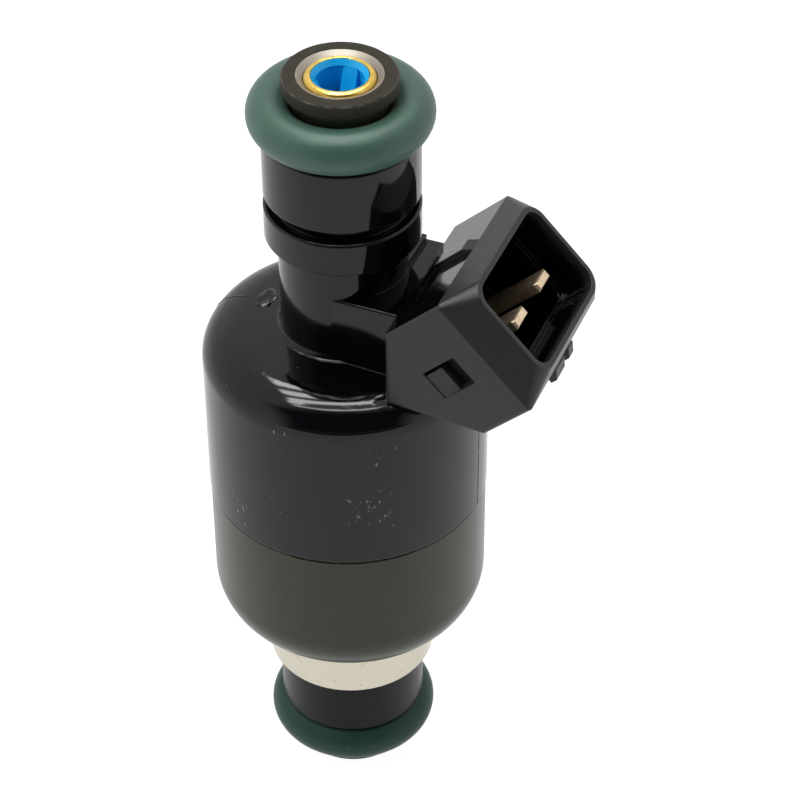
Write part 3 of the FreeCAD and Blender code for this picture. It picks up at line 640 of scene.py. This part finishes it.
# The studio. Its sizes are metres. Its angles are degrees, 0 at the horizon behind the camera and 90
# straight up. Sideways runs from -1 on the camera's left to 1 on its right. A pair is the two ends of a
# soft edge.
WHITE = 0.90
BLACK = 0.04
DARK_LOWER_EDGE = (-8, -2)
DARK_UPPER_EDGE = (64, 80)
DARK_SIDE_EDGE = (0.55, 0.85)
STRIP_ANGLES = (80, 92.5, 105, 117)
STRIP_HALF_WIDTH = 2.4
STRIP_BLUR = 2.0
STRIP_SLANT = 0.003
STRIP_LEFT_EDGE = (-0.68, -0.64)
STRIP_RIGHT_EDGE = (-0.02, 0.06)
STRIP_GLOW = 12.0
FLOOR_RADIUS = 3.0
FLAG_FADE = (0.24, 0.34)
FLAG_HEIGHT = 0.001
LAMP_DISTANCE = 0.5
LAMP_AIM = Vector((0, 0, 0.036))


def level_axes():
    """Level directions from the injector towards the camera and to the camera's right."""
    forward = Vector((math.sin(CAMERA_AZIMUTH), -math.cos(CAMERA_AZIMUTH), 0))
    right = Vector((math.cos(CAMERA_AZIMUTH), math.sin(CAMERA_AZIMUTH), 0))
    return forward, right


def make_camera():
    forward, right = level_axes()
    back = forward * math.cos(CAMERA_ELEVATION) + Vector((0, 0, math.sin(CAMERA_ELEVATION)))
    up = back.cross(right)
    x_axis = right * math.cos(CAMERA_ROLL) + up * math.sin(CAMERA_ROLL)
    y_axis = up * math.cos(CAMERA_ROLL) - right * math.sin(CAMERA_ROLL)
    data = bpy.data.cameras.new("camera")
    data.lens = CAMERA_LENS
    data.sensor_width = CAMERA_SENSOR
    data.clip_start = 0.01
    data.clip_end = 20
    camera = bpy.data.objects.new("camera", data)
    turn = Matrix((x_axis, y_axis, back)).transposed().to_4x4()
    camera.matrix_world = Matrix.Translation((CAMERA_TARGET + back * CAMERA_DISTANCE) * MM) @ turn
    bpy.context.scene.collection.objects.link(camera)
    bpy.context.scene.camera = camera


def floor_sheet(graph):
    """White card that glows, and a little more where the camera sees it directly."""
    seen = graph.add("ShaderNodeLightPath", {}, "Is Camera Ray")
    return {"Base Color": (0.2, 0.2, 0.2, 1), "Roughness": 0.9, "Specular IOR Level": 0.1,
            "Emission Color": (1, 1, 1, 1), "Emission Strength": seen * 0.15 + 0.80}


def flag_cloth(graph):
    """Black cloth whose near edge fades to white."""
    forward, _ = level_axes()
    x, y, _ = graph.axes(graph.add("ShaderNodeTexCoord", {}, "Object"))
    ahead = x * forward.x + y * forward.y
    fade = ahead.rise(*FLAG_FADE).inverse()
    return {"Base Color": (0, 0, 0, 1), "Roughness": 1.0, "Specular IOR Level": 0.0,
            "Emission Color": (1, 1, 1, 1), "Emission Strength": fade * 0.95 + 0.03}


def stage_sheet(name, mesh, recipe):
    data = mesh_data(name, mesh)
    data.materials.append(material(recipe))
    sheet = bpy.data.objects.new(name, data)
    bpy.context.scene.collection.objects.link(sheet)
    return sheet


def make_floor():
    mesh = bmesh.new()
    bmesh.ops.create_circle(mesh, cap_ends=True, segments=96, radius=FLOOR_RADIUS)
    stage_sheet("floor", mesh, floor_sheet)


def make_front_flag():
    """A black sheet on the floor towards the camera, which only shows in reflections."""
    forward, right = level_axes()
    lift = Vector((0, 0, FLAG_HEIGHT))
    near = FLAG_FADE[0]
    far = 1.6
    mesh = bmesh.new()
    corners = [(near, -0.3), (near, 0.3), (far, 1.4), (far, -1.4)]
    places = [forward * ahead + right * aside + lift for ahead, aside in corners]
    mesh.faces.new([mesh.verts.new(place) for place in places])
    flag = stage_sheet("front_flag", mesh, flag_cloth)
    flag.visible_camera = False
    flag.visible_diffuse = False
    flag.visible_shadow = False


def make_world():
    """A white studio with a dark side behind the camera and four strip lights overhead."""
    world = bpy.data.worlds.new("studio")
    bpy.context.scene.world = world
    world.use_nodes = True
    graph = Graph(world.node_tree)
    x, y, z = graph.axes(graph.add("ShaderNodeTexCoord", {}, "Generated"))
    forward, right = level_axes()
    ahead = x * forward.x + y * forward.y
    sideways = x * right.x + y * right.y
    over = z.math("ARCTAN2", ahead) * math.degrees(1)
    dark_height = over.rise(*DARK_LOWER_EDGE) * over.rise(*DARK_UPPER_EDGE).inverse()
    dark = dark_height * sideways.size().rise(*DARK_SIDE_EDGE).inverse()
    light = dark.inverse() * (WHITE - BLACK) + BLACK
    slanted = sideways - over * STRIP_SLANT
    length = slanted.rise(*STRIP_LEFT_EDGE) * slanted.rise(*STRIP_RIGHT_EDGE).inverse()
    mirrored = graph.add("ShaderNodeLightPath", {}, "Is Glossy Ray")
    for angle in STRIP_ANGLES:
        strip = over.band(angle, STRIP_HALF_WIDTH, STRIP_BLUR) * length
        light = light + strip * mirrored * STRIP_GLOW
    seen = graph.add("ShaderNodeLightPath", {}, "Is Camera Ray")
    strength = light + light.inverse() * seen
    background = graph.add("ShaderNodeBackground", {"Color": (1, 1, 1, 1), "Strength": strength})
    output = graph.tree.nodes.new("ShaderNodeOutputWorld")
    graph.plug(output.inputs["Surface"], background)


def soft_light(name, direction, size, power):
    """A square area light that faces the injector and leaves no reflection of itself."""
    data = bpy.data.lights.new(name, "AREA")
    data.shape = "SQUARE"
    data.size = size
    data.energy = power
    lamp = bpy.data.objects.new(name, data)
    lamp.location = LAMP_AIM + Vector(direction).normalized() * LAMP_DISTANCE
    lamp.rotation_mode = "QUATERNION"
    lamp.rotation_quaternion = (lamp.location - LAMP_AIM).to_track_quat("Z", "Y")
    bpy.context.scene.collection.objects.link(lamp)
    lamp.visible_glossy = False


looks = {recipe.__name__: material(recipe) for recipe in RECIPES}
paint_frame(looks)
moulding_marks(looks["moulded_black"])
make_camera()
make_floor()
make_front_flag()
make_world()
soft_light("key", direction=(-0.5, -0.5, 1.0), size=0.35, power=1.0)
bpy.context.scene.view_settings.view_transform = "Standard"

bpy.context.view_layer.update()
